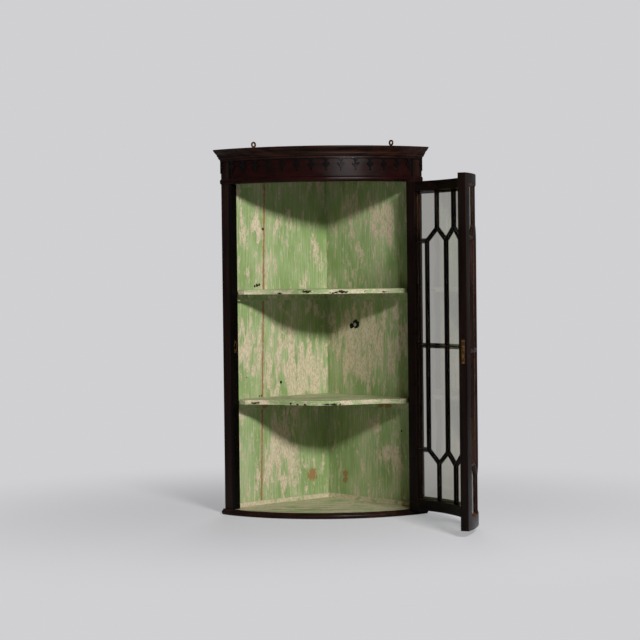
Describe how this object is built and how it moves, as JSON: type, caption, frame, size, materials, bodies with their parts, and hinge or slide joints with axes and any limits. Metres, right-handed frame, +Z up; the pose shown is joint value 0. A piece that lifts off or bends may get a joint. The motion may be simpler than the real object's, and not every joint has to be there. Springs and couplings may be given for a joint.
{
  "type": "hanging corner cabinet",
  "caption": "Bow-fronted hanging corner cabinet with a glazed astragal door standing open, shaped shelves, pierced arcade frieze and brass hanging plates.",
  "frame": {"origin": "on the underside, midway between the two ends that meet the walls", "axes": "+X across the front towards the hinge side, +Y back into the corner of the room, +Z up"},
  "size_m": [0.7176, 0.7943, 1.0475],
  "materials": {
    "mahogany": "dark polished mahogany",
    "frieze_mahogany": "red-brown polished mahogany veneer",
    "painted_boards": "worn green paint over cream on the inside, bare pine outside",
    "painted_shelf": "worn green paint over cream",
    "pine": "bare pine darkened with age",
    "brass": "old brass, dulled",
    "glass": "clear old glass"
  },
  "bodies": {
    "carcass": {"bottom_board": "painted_boards", "top_board": "pine", "back_board_left_front": "painted_boards", "back_board_left_middle": "painted_boards", "back_board_left_corner": "painted_boards", "back_board_right_front": "painted_boards", "back_board_right_middle": "painted_boards", "back_board_right_corner": "painted_boards", "corner_post_left": "mahogany", "corner_post_right": "mahogany", "frieze_rail": "frieze_mahogany", "glue_blocks": "pine", "door_stop": "painted_boards", "lower_shelf": "painted_shelf", "upper_shelf": "painted_shelf", "lower_cleat_left": "painted_shelf", "lower_cleat_right": "painted_shelf", "upper_cleat_left": "painted_shelf", "upper_cleat_right": "painted_shelf", "floor_strip_left": "painted_shelf", "floor_strip_right": "painted_shelf", "base_moulding_front": "mahogany", "base_moulding_left": "mahogany", "base_moulding_right": "mahogany", "bead_front": "frieze_mahogany", "bead_left": "frieze_mahogany", "bead_right": "frieze_mahogany", "frieze_arcade_front": "mahogany", "frieze_arcade_left": "mahogany", "frieze_arcade_right": "mahogany", "cornice_front": "mahogany", "cornice_left": "mahogany", "cornice_right": "mahogany", "hanging_plate_left": "brass", "hanging_plate_right": "brass", "hanging_screws": "brass", "lock_strike": "brass", "upper_hinge_fixed_leaf": "brass", "lower_hinge_fixed_leaf": "brass", "hinge_pins": "brass", "fixed_leaf_screws": "brass"},
    "door": {"hinge_stile": "mahogany", "lock_stile": "mahogany", "door_top_rail": "mahogany", "door_bottom_rail": "mahogany", "sight_moulding": "mahogany", "tracery_ribs": "mahogany", "tracery_bars": "mahogany", "top_panes": "glass", "upper_panes": "glass", "lower_panes": "glass", "bottom_panes": "glass", "upper_hinge_door_leaf": "brass", "lower_hinge_door_leaf": "brass", "door_leaf_screws": "brass", "lock_case": "brass", "lock_screws": "brass", "keyhole_escutcheon": "brass"},
    "bolt": {"lock_bolt": "brass"}
  },
  "joints": [
    {"name": "door_hinge", "type": "hinge", "parent": "carcass", "child": "door", "pos_m": [0.25191, -0.03221, 0.47], "axis": [0, 0, 1], "range_deg": [-106, 16]},
    {"name": "bolt_slide", "type": "slide", "parent": "door", "child": "bolt", "axis": [-0.3823, -0.924, 0], "range_m": [0, 0.008]}
  ]
}
